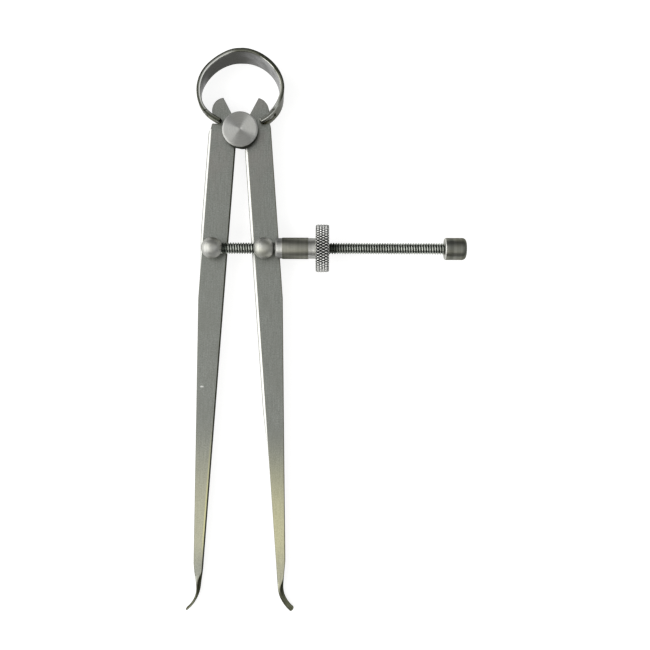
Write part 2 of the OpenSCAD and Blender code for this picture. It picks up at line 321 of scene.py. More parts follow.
spool_profile = rounded_path(
    [(0, 0), (back_disc_radius - disc_chamfer, 0), (back_disc_radius, disc_chamfer),
     (back_disc_radius, leg_low[2]), (waist_radius, leg_low[2]), (waist_radius, leg_high[2]),
     (disc_radius, leg_high[2]), (disc_radius, spool_top[2] - disc_chamfer),
     (disc_radius - disc_chamfer, spool_top[2]), (0, spool_top[2])],
    turned_edge,
)
spool_points = turned_grid(spool_profile, turned_segments)
# Everything below the front disc's chamfer is painted dark as shade
below_chamfer = spool_profile[:, 1] < spool_top[2] - disc_chamfer - turned_edge / 4
spool_steel = turned_steel(
    "turned spool steel", spool_dark, spool_light, spool_stain, rough=0.56, spacing=0.16, relief=0.002)
add_piece(
    "turned_spool", spool_points, grid_faces(*spool_points.shape[:2]), "fulcrum", "fulcrum_spool",
    spool_steel, {"wall": np.repeat(below_chamfer, turned_segments)})

# The legs are flat steel blanks, ground on both faces, with their narrow walls painted dark as shade. Each
# one has a round ear and a shoulder that hold the spring, and tapers to a rounded point that is bent
# outwards.
# A narrow bevel, ground bright, runs along the left edge of each, with a thin painted shadow line beside it.
leg_angle = np.radians(4.2)
leg_width = 7.7
inner_edge = 1.6
outer_edge = inner_edge + leg_width
knee_distance = 53.0
knee_round = 6.0
taper_width = 2.75
throat_length = 7.2
throat_width = 1.6
bend_radius = 11.0
bend_angle = np.radians(46)
hollow_radius = 8.4
leg_length = 151.0
tip_width = 1.1
tip_thickness = 2.8
tip_thinning = 14.0
shoulder_height = 1.8
shoulder_round = 0.5
ear_radius = 4.6
ear_distance = 7.3
ear_offset = 0.7
ear_angle = np.radians(32)
seat_radius = waist_radius + 0.05
leg_middle = (leg_low[2] + leg_high[2]) / 2
leg_half = (leg_high[2] - leg_low[2]) / 2
ground_edge = 0.14
wall_angle = np.radians(80)
# Length above the taper's end where the slim loop starts, and points along its straight, bend and round end
slim_lead = 3.0
straight_count, bend_count, end_count = 26, 25, 16
# Points along the ear's arc and the seat's, and how far the ear's swell leans to its top
ear_count, seat_count = 40, 24
ear_skew = 1.5
# The tip's needle: share of its half width that is rounded, how far its face leans to one edge, where that
# lean fades, counted from the needle's end, and where the ground face goes dark
needle_share = 0.97
face_lean = 0.7
lean_fade = (-1.0, -4.0)
face_fade = (0.6, -0.6)
# The bevel: its width and fall, how far under the face it starts, and the lengths of its run-outs
bevel_width = 0.78
bevel_fall = 0.46
bevel_sink = 0.004
bevel_lead, bevel_tail = 2.0, 18.0
# Corners of the bevel's section: share of its width, share of its fall, and whether it is bright there; where
# it is not, it takes the wall colour as a thin painted shadow line
bevel_section = [
    (-0.18, 0, 1), (0, 0.15, 1), (0.77, 0.8, 1), (0.81, 0.84, 0), (1, 1, 0), (1, 2, 0), (-0.18, 2, 0)]
# Each leg's side, fullness of its ear, breadth of its tip, start and end of its needle, and its bevel:
# the edge that it follows, the way that it faces, its start and its end
leg_forms = {
    "left_leg": (-1.0, 0.5, 0.6, -138.0, -142.6, (outer_edge, 1.0, 0.8, -48.0)),
    "right_leg": (1.0, 0.15, 1.45, -140.0, -144.8, (inner_edge, -1.0, -3.9, -104.0)),
}
ground_dark, ground_light = (0.178, 0.187, 0.170), (0.272, 0.284, 0.262)
grey_stain, brown_stain = (0.205, 0.212, 0.190), (0.275, 0.255, 0.240)
leg_speck = (0.07, 0.07, 0.06)
straw_left, straw_right = (0.415, 0.41, 0.31), (0.52, 0.505, 0.32)
tip_left, tip_right = (0.265, 0.272, 0.24), (0.36, 0.355, 0.265)
streak_colour = (0.56, 0.55, 0.30)
nick_glint_colour = (0.62, 0.63, 0.60)
# Wall colours, painted dark as shade: for the left and the right leg, then at the tips' bend and end
wall_left, wall_right = (0.075, 0.078, 0.05), (0.17, 0.165, 0.12)
tip_wall_bend, tip_wall_end = (0.06, 0.063, 0.042), (0.15, 0.155, 0.105)
bevel_colour = (0.43, 0.435, 0.425)
leg_edge_tint = (0.14, 0.14, 0.11)
leg_stain_share, leg_speck_share, straw_share = 0.45, 0.25, 0.75
leg_tarnish_size = 7.0
slow_share, grit_share = 0.4, 0.6
grit_scale = 2600.0
grain_across, grain_along = 0.11, 2.2
grain_relief = 0.004
straw_shade = (0.90, 1.10)
leg_rough, leg_smooth = 0.38, 0.30
# Stretches along Y, or across X, over which a colour comes in
middle_run = (-2.0, 2.0)
brown_run = (-30.0, 0.0)
straw_run = (-88.0, -119.0)
straw_delay = 4.0
tip_run = (-127.0, -140.0)
streak_run = (inner_edge + 0.7, inner_edge + 0.4)
streak_side = (1.0, -1.0)
streak_end = (-136.0, -124.0)
tip_wall_run = (-136.0, -140.0)
tip_end_run = (-143.0, -149.0)
# A small nick on the left leg, its glint painted as a bright spot: its place, how fast it ends each way, and
# the fade of its rim
nick_place = (-11.9 * MM, -79.9 * MM, leg_high[2] * MM)
nick_scale = (1.4 / MM, 3.0 / MM, 0.0)
nick_fade = (1.0, 0.5)


def arc(centre, radius, start, end, count):
    """Points of a circular arc from one angle to another, in equal steps."""
    angle = np.linspace(start, end, count)
    return np.asarray(centre) + radius * np.stack([np.cos(angle), np.sin(angle)], -1)


def angle_from(centre, point):
    """Angle of a point seen from a centre."""
    return np.arctan2(point[1] - centre[1], point[0] - centre[0])


def smooth_step(value):
    """Goes from 0 to 1 with level ends as the value goes from 0 to 1."""
    value = np.clip(value, 0, 1)
    return value * value * (3 - 2 * value)


def rise(value, run):
    """Smooth step from 0 to 1 as a value goes from the run's first end to its second."""
    return smooth_step((value - run[0]) / (run[1] - run[0]))


def leg_outline(ear_fullness):
    """Outline of a closed right leg, anticlockwise: the slim loop round its tip, then the broad upper part.

    The slim loop's points lie in pairs across the leg, the first with the last and so on inwards. The ear's
    arc swells by a sine of its length where the real ear is fuller than a circle.
    """
    out = np.array([np.cos(bend_angle), np.sin(bend_angle)])
    tip_x = inner_edge + bend_radius * (1 - out[0])
    tip_outer = np.array([tip_x, -np.sqrt(leg_length ** 2 - tip_x ** 2)])
    tip_inner = tip_outer + tip_width * out
    bend_y = tip_outer[1] + bend_radius * out[1]
    throat = np.array([inner_edge + throat_width, bend_y])
    taper_end = np.array([inner_edge + taper_width, bend_y + throat_length])
    knee = np.array([outer_edge, -knee_distance])
    chord = tip_inner - throat
    reach = np.sqrt(hollow_radius ** 2 - chord @ chord / 4)
    hollow = (throat + tip_inner) / 2 + reach * np.array([-chord[1], chord[0]]) / np.linalg.norm(chord)

    level = np.linspace(taper_end[1] + slim_lead, bend_y, straight_count)
    straight_in = np.stack([np.full_like(level, inner_edge), level], -1)
    slope = np.interp(level, [throat[1], taper_end[1], knee[1]], [throat[0], taper_end[0], knee[0]])
    straight_out = np.stack([slope, level], -1)
    bend_centre = (inner_edge + bend_radius, bend_y)
    bend_in = arc(bend_centre, bend_radius, np.pi, np.pi + bend_angle, bend_count)[1:]
    hollow_start, hollow_end = [angle_from(hollow, point) % (2 * np.pi) for point in (throat, tip_inner)]
    bend_out = arc(hollow, hollow_radius, hollow_start, hollow_end, bend_count)[1:]
    end_start = bend_angle + np.pi
    tip_end = arc((tip_outer + tip_inner) / 2, tip_width / 2, end_start, end_start + np.pi, end_count)[1:-1]
    slim = np.concatenate([straight_in, bend_in, tip_end, bend_out[::-1], straight_out[::-1]])

    ear_line = np.array([np.sin(ear_angle), np.cos(ear_angle)])
    ear_centre = ear_distance * ear_line + ear_offset * np.array([ear_line[1], -ear_line[0]])
    notch_x = ear_centre[0] + np.sqrt(ear_radius ** 2 - (ear_centre[1] - shoulder_height) ** 2)
    ear_top = (ear_distance + np.sqrt(ear_radius ** 2 - ear_offset ** 2)) * ear_line
    notch = np.array([notch_x, shoulder_height])
    upper_side = rounded_path(
        [straight_out[0], knee, (knee[0], shoulder_height), notch], (knee_round, shoulder_round), 9)[1:]
    swell = ear_fullness * np.sin(np.pi * np.linspace(0, 1, ear_count) ** ear_skew)[:, None]
    ear_start, ear_end = angle_from(ear_centre, notch), angle_from(ear_centre, ear_top)
    ear_side = arc(ear_centre, ear_radius, ear_start, ear_end, ear_count)
    ear_side = (ear_side + swell * (ear_side - ear_centre) / ear_radius)[1:]
    seat_low = (inner_edge, -np.sqrt(seat_radius ** 2 - inner_edge ** 2))
    seat_arc = arc((0, 0), seat_radius, np.pi / 2 - ear_angle, angle_from((0, 0), seat_low), seat_count)
    return slim, np.concatenate([upper_side, ear_side, seat_arc])


def leg_surface(ear_fullness, tip_share, needle_start, needle_end, lean, edge_steps=5):
    """A plate over the outline with rounded edges, which grow over the whole leg past the needle's start.

    The tip's breadth grows to its share, and the face runs out nearer to the edge that the lean favours.
    Rows run from the back face over the wall to the front face, columns run round the outline.
    """
    slim, broad = leg_outline(ear_fullness)
    centre_line = (slim + slim[::-1]) / 2
    growth = rise(slim[:, 1], (needle_start, -leg_length))
    slim = centre_line + (slim - centre_line) * (1 + (tip_share - 1) * growth[:, None])
    outline = np.concatenate([slim, broad])
    step = np.roll(outline, -1, 0) - outline
    step /= np.linalg.norm(step, axis=1, keepdims=True)
    normal = np.stack([step[:, 1], -step[:, 0]], -1)
    before = np.roll(normal, 1, 0)
    mitre = (normal + before) / (1 + (normal * before).sum(1, keepdims=True))

    pairs = len(slim)
    half = np.full(len(outline), leg_width / 2)
    half[:pairs] = np.maximum(np.linalg.norm(slim - slim[::-1], axis=1), tip_width * tip_share) / 2
    favour = np.zeros(len(outline))
    favour[:pairs] = lean * np.sign(np.arange(pairs) - (pairs - 1) / 2)
    favour[:pairs] *= 1 - rise(slim[:, 1] - needle_end, lean_fade)
    thin = np.clip((tip_thinning - leg_length - outline[:, 1]) / tip_thinning, 0, 1)
    thickness = leg_half + (tip_thickness / 2 - leg_half) * thin
    needle = rise(outline[:, 1], (needle_start, needle_end))
    across = ground_edge + (needle_share * half * (1 + favour) - ground_edge) * needle
    up = ground_edge + (thickness - ground_edge) * needle

    turn = np.linspace(0, np.pi / 2, edge_steps + 1)
    turn = np.concatenate([turn[::-1], turn])
    side = np.repeat([-1.0, 1.0], edge_steps + 1)
    inset = (1 - np.cos(turn))[:, None] * across
    height = side[:, None] * (thickness - (1 - np.sin(turn))[:, None] * up)
    flat = outline - inset[..., None] * mitre
    points = np.concatenate([flat, (leg_middle + height)[..., None]], -1)

    rows, columns = height.shape
    faces = grid_faces(rows, columns).tolist()
    k = np.arange(pairs // 2 - 1)
    ladder = np.stack([k, k + 1, pairs - 2 - k, pairs - 1 - k], -1)
    face = np.concatenate([np.arange(pairs - 1, columns), [0]])
    last = (rows - 1) * columns
    faces += (ladder + last).tolist() + [(face + last).tolist()]
    faces += ladder[:, ::-1].tolist() + [face[::-1].tolist()]
    # The walls, and the needle's face past its fade, get the wall colour, which is painted shade
    wall = np.maximum((turn < wall_angle)[:, None], rise(outline[:, 1] - needle_end, face_fade))
    return points.reshape(-1, 3), faces, wall.ravel()


def edge_bevel(edge_x, way, start, end, steps=60):
    """A narrow ground bevel along a straight edge: its section, drawn out along the edge in equal steps.

    The section's width and fall grow from nothing after its start and shrink to nothing towards its end.
    """
    level = np.linspace(start, end, steps)[:, None]
    size = rise(level, (start, start - bevel_lead)) * rise(level, (end, end + bevel_tail))
    out, fall, bright = np.transpose(bevel_section)
    x = edge_x + way * size * bevel_width * out
    z = leg_high[2] - bevel_sink - size * bevel_fall * fall
    points = np.stack([x, np.broadcast_to(level, x.shape), z], -1)
    return points.reshape(-1, 3), grid_faces(*x.shape), np.broadcast_to(bright, x.shape).ravel()


def grinding_lines():
    """Fine lines that a grinding wheel leaves: noise drawn out along Y, and slow noise with grit for tone."""
    tree, given = start_group("grinding lines", "Across", "Along")
    pitch = put(tree, "ShaderNodeCombineXYZ", {0: given["Across"], 1: given["Along"], 2: given["Across"]})
    place = vector_reckon("DIVIDE", given["Vector"], pitch.outputs[0])
    slow = times(noise(place, scale=0.4, detail=2.0), slow_share)
    grit = times(noise(given["Vector"], scale=grit_scale, detail=2.0), grit_share)
    tone = spread(reckon("ADD", slow, grit), *tone_band)
    return end_group(tree, Height=noise(place, scale=1.0, detail=3.0), Tone=tone)


grinding_group = grinding_lines()


def ground_leg_steel():
    """Ground faces, straw-tinted from the heat of hardening towards the tips, over walls painted dark as
    shade.
    """
    material, tree, place = new_material("ground leg steel")
    side, along, _ = split(place)
    on_right = over(side, middle_run)
    lines = place_group(grinding_group, place, Across=grain_across, Along=grain_along)
    tarnish = place_group(tarnish_group, place, Size=leg_tarnish_size)
    clean = blend(lines["Tone"], ground_dark, ground_light)
    stain = blend(over(along, brown_run), grey_stain, brown_stain)
    stained = blend(times(tarnish["Patches"], leg_stain_share), clean, stain)
    specked = blend(times(tarnish["Specks"], leg_speck_share), stained, leg_speck)

    later = reckon("MULTIPLY_ADD", on_right, straw_delay * MM, along)
    straw = times(over(later, straw_run), straw_share)
    gold = blend(on_right, straw_left, straw_right)
    grey = blend(on_right, tip_left, tip_right)
    deep = blend(over(along, tip_run), gold, grey)
    shade = spread(lines["Tone"], 0.0, 1.0, *straw_shade)
    deep = put(tree, "ShaderNodeVectorMath", {0: deep, "Scale": shade}, operation="SCALE").outputs[0]
    tinted = blend(straw, specked, deep)

    from_middle = times(reckon("ABSOLUTE", side), np.cos(leg_angle))
    across = reckon("ADD", from_middle, times(along, np.sin(leg_angle)))
    streak = times(over(across, streak_run), straw)
    streak = times(streak, over(side, streak_side))
    streak = times(streak, over(along, streak_end))
    streaked = blend(streak, tinted, streak_colour)
    # The nick's glint is painted as a bright spot
    nick_way = vector_reckon("SUBTRACT", place, nick_place)
    nick_far = vector_reckon("LENGTH", vector_reckon("MULTIPLY", nick_way, nick_scale))
    nick_glinted = blend(spread(nick_far, *nick_fade), streaked, nick_glint_colour)

    # The walls are painted dark as shade, darker on the left leg than on the right, with other dark colours
    # towards the tips
    painted_wall_shade = blend(on_right, wall_left, wall_right)
    tip_wall = blend(over(along, tip_end_run), tip_wall_bend, tip_wall_end)
    wall_colour = blend(over(along, tip_wall_run), painted_wall_shade, tip_wall)
    wall_shaded = blend(mark(tree, "wall"), nick_glinted, wall_colour)
    bevelled = blend(mark(tree, "bevel"), wall_shaded, bevel_colour)
    gloss = spread(lines["Tone"], 0.0, 1.0, leg_rough, leg_smooth)
    steel_shader(bevelled, gloss, lines["Height"], grain_relief, leg_edge_tint)
    return material


leg_steel = ground_leg_steel()
turned_open = np.array([[np.cos(leg_angle), np.sin(leg_angle)], [-np.sin(leg_angle), np.cos(leg_angle)]])
for leg_name, (side, ear_fullness, tip_share, needle_start, needle_end, bevel) in leg_forms.items():
    leg_points, leg_faces, leg_wall = leg_surface(
        ear_fullness, tip_share, needle_start, needle_end, face_lean * side)
    bevel_points, bevel_faces, bright = edge_bevel(*bevel)
    placed = np.concatenate([leg_points, bevel_points])
    placed[:, :2] = placed[:, :2] @ turned_open * np.array([side, 1.0])
    # The bevel's dull corners take the wall colour too, a thin painted shadow line beside it
    leg_marks = {
        "wall": np.concatenate([leg_wall, 1 - bright]),
        "bevel": np.concatenate([np.zeros(len(leg_wall)), bright]),
    }
    all_faces = leg_faces + (bevel_faces + len(leg_points)).tolist()
    add_piece("ground_" + leg_name, placed, all_faces, leg_name, leg_name, leg_steel, leg_marks)

# The bow spring is a flat strip of dark spring steel, rolled to an open ring with its edges rounded over.
# A slot in each end straddles a leg, so that two tines press between its ear and its shoulder.
spring_low, spring_high = node_box("bow_spring")
bow_radius = 12.9
bow_spread = 0.55
bow_centre_y = spring_high[1] - 12.75
strip_thickness = 1.25
strip_round = 0.32
slot_half = leg_half + 0.15
ring_count, tine_count = 140, 24
# Angles from -Y of a tine's end and of a slot's root; a tine laps the ring by the last angle
tine_angle = np.radians(30.5)
root_angle = np.radians(58.0)
tine_lap = 0.002
# The first rings of a tine: their angles past its end, how far their section has grown, and the next angle
ease_angle = (0.0, 0.004, 0.012)
ease_size = (0.62, 0.86, 0.96)
ease_end = 0.02
# How far the ring strays outwards from a circle at its front and back edge, by bearing from +Y to the right
front_stray = [
    (-150, -135, -118, -75, -35, 0, 30, 50, 65, 90, 108, 120, 135, 150),
    (-1.3, -1.1, 0.0, 0.0, -0.75, 0.15, -0.15, -0.05, 0.25, 0.45, -0.45, -0.6, -1.0, -1.3)]
back_stray = [
    (-150, -135, -118, -90, -60, -30, 30, 60, 105, 120, 135, 150),
    (-2.1, -1.9, -0.3, 1.4, 0.05, -0.55, -0.8, -0.6, -0.35, -1.0, -1.5, -1.7)]
# Each stray is a mean over bearings this far to both sides, at so many places
stray_reach, stray_count = 12, 7
# Bright wear on the front edge, with painted glints where the edge catches the light, by the same bearing:
# how much on the hollow's half and on the round half, where it starts and ends, in shares of the strip from
# its middle line, and how much of a dark rim, partly scale and partly painted shade, is left
hollow_wear_and_glint = [
    (-150, -128, -115, -100, -60, -20, -5, 30, 38, 55, 60, 100, 116, 128),
    (0, 0.25, 0.7, 0.95, 0.95, 0.7, 0.05, 0.05, 0.8, 0.9, 0.1, 0.2, 0.7, 1)]
round_wear_and_glint = [(100, 118, 130), (0, 0.8, 1)]
bright_start = [(-65, -45, 20, 35, 60, 75, 105, 120), (-0.08, 0.05, 0.05, 0.3, 0.3, 0.05, 0.05, 0.2)]
bright_end = [(-65, -45), (0.33, 0.7)]
scale_and_shade_left = [(-60, -15, 15, 30, 90), (1, 0.4, 0.5, 0.9, 1)]
# Shares of the strip over which the bright wear with its painted glints and the dark rim come in and the
# bright wear goes out, the share of its rounding over which the front edge comes in, and the shares between
# which its hollow side does
bright_blur, dark_rim_blur, end_blur = 0.12, 0.15, 0.1
front_share = 0.8
inside_run = (0.0, -0.25)
rolled_dark, rolled_light = (0.07, 0.073, 0.05), (0.13, 0.135, 0.095)
# Painted light and shade: a paler rounding at the lower right, and the hollow's colours from shaded to lit
lit_round = (0.155, 0.158, 0.12)
shaded_hollow, lit_hollow, brightly_lit_hollow = (0.12, 0.12, 0.118), (0.72, 0.725, 0.74), (0.97, 0.97, 0.98)
shaded_front, lit_back = (0.055, 0.055, 0.053), (0.46, 0.46, 0.47)
spring_stain = (0.10, 0.101, 0.09)
spring_worn_and_glint = (0.85, 0.86, 0.82)
# Colour of the dark rim, partly scale and partly painted shade
spring_scale_and_shade = (0.04, 0.044, 0.032)
spring_edge_tint = (0.4, 0.4, 0.39)
spring_stain_share = 0.5
spring_tarnish_size = 5.0
rolled_scale = 6000.0
rolled_relief = 0.003
spring_smooth, spring_rough = 0.24, 0.34
# Stretches along Y, X and Z over which the painted light and shade on the hollow and on the lower right
# rounding change
low_run = (18.5, 14.5)
right_run = (4.0, 9.0)
left_run = (-6.0, -9.0)
lit_run = (-1.5, 12.5)
back_run = (spring_high[2] - 1.0, spring_low[2] + 2.0)


def bow_path(angle):
    """Middle line of the bow's right half: an arc about a centre beside the middle line, by angle from -Y."""
    outward = np.stack([np.sin(angle), -np.cos(angle)], -1)
    middle = np.array([bow_spread, bow_centre_y]) + (bow_radius - strip_thickness / 2) * outward
    return middle, outward


def strip_section(low, high):
    """Rounded rectangle of the strip: offset from its middle line, and height from low to high, as a loop."""
    half = strip_thickness / 2
    loop = rounded_path(
        [(0, low), (half, low), (half, high), (-half, high), (-half, low), (0, low)], strip_round, 6)
    return loop[:-1]


def strip_run(middle, outward, section, size):
    """Carries the section along a path: offset and stray along the outward direction, height up.

    Each ring's section is scaled by its size about its own middle. The stray goes from the front edge's to
    the back edge's with depth. Returns points, side faces, end faces and the marks of wear with painted
    glints, of a dark rim that is partly scale and partly painted shade, and of the hollow.
    """
    core = section.mean(0)
    shaped = core + size[:, None, None] * (section - core)
    bearing = np.degrees(np.arctan2(middle[:, 0], middle[:, 1] - bow_centre_y))[:, None]
    nearby = bearing[..., None] + np.linspace(-stray_reach, stray_reach, stray_count)
    front_shift = np.interp(nearby, *front_stray).mean(-1)[..., None]
    back_shift = np.interp(nearby, *back_stray).mean(-1)[..., None]
    depth = (spring_high[2] - shaped[..., 1:]) / (spring_high[2] - spring_low[2])
    shift = front_shift + depth * (back_shift - front_shift)
    flat = middle[:, None] + (shaped[..., :1] + shift) * outward[:, None]
    points = np.concatenate([flat, shaped[..., 1:]], -1)
    rows, columns = points.shape[:2]
    ring = np.arange(columns)
    ends = np.stack([ring[::-1], ring + (rows - 1) * columns])

    front = smooth_step((section[:, 1] - spring_high[2] + strip_round) / (front_share * strip_round))
    share = section[:, 0] / strip_thickness
    start, end = np.interp(bearing, *bright_start), np.interp(bearing, *bright_end)
    # Bright wear, with painted glints where the edge catches the light
    worn = np.interp(bearing, *hollow_wear_and_glint) * front * smooth_step((-share - start) / bright_blur)
    worn *= smooth_step((end + share) / end_blur + 1)
    worn += np.interp(bearing, *round_wear_and_glint) * front * smooth_step((share - start) / bright_blur)
    # A dark rim on the front edge, partly scale and partly painted shade
    scale_and_shade = np.interp(bearing, *scale_and_shade_left) * front * (1 - worn)
    scale_and_shade *= smooth_step((share + start) / dark_rim_blur + 1)
    inside = np.broadcast_to(rise(share, inside_run) * (1 - front), (rows, columns))
    return points.reshape(-1, 3), grid_faces(rows, columns), ends, worn.ravel(), scale_and_shade.ravel(), inside.ravel()


def bow_surface():
    """The ring between the slots' roots, and two tines at each end of it, as closed runs of the strip."""
    mirror = np.array([-1.0, 1.0])
    right, right_out = bow_path(np.linspace(root_angle, np.pi, ring_count))
    middle = np.concatenate([right, right[::-1] * mirror])
    outward = np.concatenate([right_out, right_out[::-1] * mirror])
    low, high = spring_low[2], spring_high[2]
    runs = [strip_run(middle, outward, strip_section(low, high), np.ones(len(middle)))]
    length = np.linspace(tine_angle + ease_end, root_angle + tine_lap, tine_count)
    tine, tine_out = bow_path(np.concatenate([tine_angle + np.array(ease_angle), length]))
    size = np.concatenate([ease_size, np.ones(tine_count)])
    for sign in (np.ones(2), mirror):
        for bottom, top in ((low, leg_middle - slot_half), (leg_middle + slot_half, high)):
            runs.append(strip_run(tine * sign, tine_out * sign, strip_section(bottom, top), size))
    points, sides, ends, worn, scale_and_shade, inside = zip(*runs)
    faces = []
    for start, side, end in zip(np.cumsum([0] + [len(run) for run in points]), sides, ends):
        faces += (side + start).tolist() + (end + start).tolist()
    marks = {"worn": np.concatenate(worn), "scale_and_shade": np.concatenate(scale_and_shade), "inside": np.concatenate(inside)}
    return np.concatenate(points), faces, marks


def polished_spring_steel():
    """Dark spring steel: rolled lines round the strip, stains, worn corners with painted glints, a dark rim
    that is partly scale and partly painted shade, and painted light and shade on the hollow and the lower
    right rounding.
    """
    material, tree, place = new_material("polished spring steel")
    side, along, level = split(place)
    rolled = noise(level, scale=rolled_scale, detail=2.0)
    tarnish = place_group(tarnish_group, place, Size=spring_tarnish_size)
    # The hollow is painted from dark on the left to pale on the right and white at the lower right, and from
    # shaded at the front to lit at the back on the lower left; the rounding is painted paler at the lower
    # right
    low_on_ring = over(along, low_run)
    lit_low_right = times(low_on_ring, over(side, right_run))
    graded_low_left = times(low_on_ring, over(side, left_run))
    clean = blend(rolled, rolled_dark, rolled_light)
    clean = blend(lit_low_right, clean, lit_round)
    pale = blend(lit_low_right, lit_hollow, brightly_lit_hollow)
    heat = blend(over(side, lit_run), shaded_hollow, pale)
    depth_shade = blend(over(level, back_run), shaded_front, lit_back)
    hollow = blend(graded_low_left, heat, depth_shade)
    painted_hollow_mix = blend(mark(tree, "inside"), clean, hollow)
    stained = blend(times(tarnish["Patches"], spring_stain_share), painted_hollow_mix, spring_stain)
    # Worn corners with painted glints, then the dark rim, partly scale and partly painted shade
    worn_and_glinting = blend(mark(tree, "worn"), stained, spring_worn_and_glint)
    colour = blend(mark(tree, "scale_and_shade"), worn_and_glinting, spring_scale_and_shade)
    gloss = spread(tarnish["Patches"], 0.0, 1.0, spring_smooth, spring_rough)
    steel_shader(colour, gloss, rolled, rolled_relief, spring_edge_tint)
    return material


bow_points, bow_faces, bow_marks = bow_surface()
add_piece(
    "rolled_bow_spring", bow_points, bow_faces, "spring", "bow_spring",
    polished_spring_steel(), bow_marks)

# Two ball-headed posts swivel in the legs, each with a collar above the leg and a head peened over behind it.
# The left one holds the screw's end in a blind seat, and the screw slides through the right one.
guide_low, guide_high = node_box("guide_post")
ball_radius = (guide_high[1] - guide_low[1]) / 2
screw_y = (guide_low[1] + guide_high[1]) / 2
screw_z = guide_high[2] - ball_radius
ball_lift = 1.1
ball_full = ball_radius + 0.06
guide_shift = 0.5
bore_radius = 1.8
blind_depth = -1.6
collar_radius = 2.3
collar_chamfer = 0.5
shank_radius = 1.9
peened_radius = 2.8
peened_thickness = 0.9
peened_rim = 0.2
post_seat = leg_high[2] + 0.06
post_back = leg_low[2] - 0.06
post_top = screw_z - bore_radius - 0.1
post_rounds = (0.3, 0.15, 0.05, 0.05, 0.05, 0.1, 0.15, 0.1)
stem_segments = 64
post_dark = (0.42, 0.425, 0.405)
post_light = (0.475, 0.48, 0.46)
post_stain = (0.40, 0.40, 0.32)


def ball_surface(blind, rows=60, segments=96):
    """A ball drilled below its middle: each half plane through the bore's axis cuts it in a circle.

    That circle's centre is lift * sin(turn) off the axis, and its radius squared is the ball's less the rest.
    """
    turn = np.linspace(0, 2 * np.pi, segments, endpoint=False)
    centre = ball_lift * np.sin(turn)
    reach = np.sqrt(ball_full ** 2 - (ball_lift * np.cos(turn)) ** 2)
    rim = np.arcsin((bore_radius - centre) / reach)
    start = np.arcsin(-centre / reach) if blind else rim
    angle = start + (np.pi - rim - start) * np.linspace(0, 1, rows)[:, None]
    x = -reach * np.cos(angle)
    radius = centre + reach * np.sin(angle)
    if blind:
        ring = np.ones((1, segments))
        x = np.concatenate([x, blind_depth * ring, blind_depth * ring])
        radius = np.concatenate([radius, bore_radius * ring, 0 * ring])
    return np.stack([x, radius * np.cos(turn), radius * np.sin(turn)], -1)


def post_surface(x, blind):
    """The ball on the screw's axis, and the collar, shank and peened head, turned about Z."""
    ball_x = x if blind else x - guide_shift
    ball = ball_surface(blind) + np.array([ball_x, screw_y, screw_z])
    ball_faces = grid_faces(*ball.shape[:2], wrap_rows=not blind)
    peened_end = post_back - peened_thickness
    stem_profile = rounded_path(
        [(0, peened_end), (peened_radius - peened_thickness, peened_end),
         (peened_radius, post_back - peened_rim), (peened_radius, post_back), (shank_radius, post_back),
         (shank_radius, post_seat), (collar_radius, post_seat), (collar_radius, post_top - collar_chamfer),
         (collar_radius - collar_chamfer, post_top), (0, post_top)],
        post_rounds,
    )
    stem = turned_grid(stem_profile, stem_segments) + np.array([x, screw_y, 0])
    stem_faces = grid_faces(*stem.shape[:2]) + ball.size // 3
    points = np.concatenate([ball.reshape(-1, 3), stem.reshape(-1, 3)])
    return points, np.concatenate([ball_faces, stem_faces])


post_steel = turned_steel(
    "turned post steel", post_dark, post_light, post_stain,
    rough=0.5, spacing=0.3, relief=0.003, centre=(screw_y, screw_z))
for post_name, post_body in (("anchor", "screw"), ("guide", "guide")):
    post_node = post_name + "_post"
    post_x = np.mean(node_box(post_node), 0)[0]
    post_points, post_faces = post_surface(post_x, blind=post_name == "anchor")
    add_piece(
        "ball_post_" + post_name, post_points, post_faces, post_body, post_node, post_steel)

# The adjusting screw is a long rod of dark oiled steel with a fine right-hand thread from end to end,
# fixed in the left post and carrying the nut.
screw_low, screw_high = node_box("adjusting_screw")
screw_radius = (screw_high[2] - screw_low[2]) / 2
thread_pitch = 25.4 / 32
thread_depth = 0.4
root_share = 0.2
crest_share = 0.74
# Middle, half length and fade of the painted shadows on the thread, beside the anchor ball and by the nut,
# and how clear it is there
painted_shadow_patches = [(-4.5, 0.5, 0.25, 0.0), (28.4, 1.0, 1.4, 0.3)]
# The roots' colour is partly green-grey oil and partly painted shade
root_oil_and_shade, crest_colour = (0.08, 0.092, 0.08), (0.52, 0.545, 0.505)
oil_stain = (0.10, 0.105, 0.085)
oil_stain_share = 0.45
oil_tarnish_size = 3.0
oil_relief = 0.004
crest_wear = (0.2, 0.8)
screw_edge_tint = (0.5, 0.5, 0.47)
screw_smooth, screw_rough = 0.26, 0.4


def thread_surface(samples=10, segments=40):
    """Radius over distance and angle: a V that climbs one pitch a turn, with its crest and root flattened."""
    length = screw_high[0] - screw_low[0]
    x = np.linspace(0, length, int(length / thread_pitch * samples))[:, None]
    angle = np.linspace(0, 2 * np.pi, segments, endpoint=False)
    phase = (x / thread_pitch - angle / (2 * np.pi)) % 1
    flank = np.clip((np.abs(2 * phase - 1) - root_share) / (crest_share - root_share), 0, 1)
    radius = screw_radius - thread_depth * (1 - flank)
    radius[[0, -1]] = 0
    y = screw_y + radius * np.cos(angle)
    z = screw_z + radius * np.sin(angle)
    place = np.broadcast_to(screw_low[0] + x, radius.shape)
    # Painted shadows: the crest mark is cleared beside the anchor ball and by the nut
    clean = [np.clip((np.abs(place - middle) - half) / fade, clear, 1)
             for middle, half, fade, clear in painted_shadow_patches]
    return np.stack([place, y, z], -1), flank * np.prod(clean, 0)


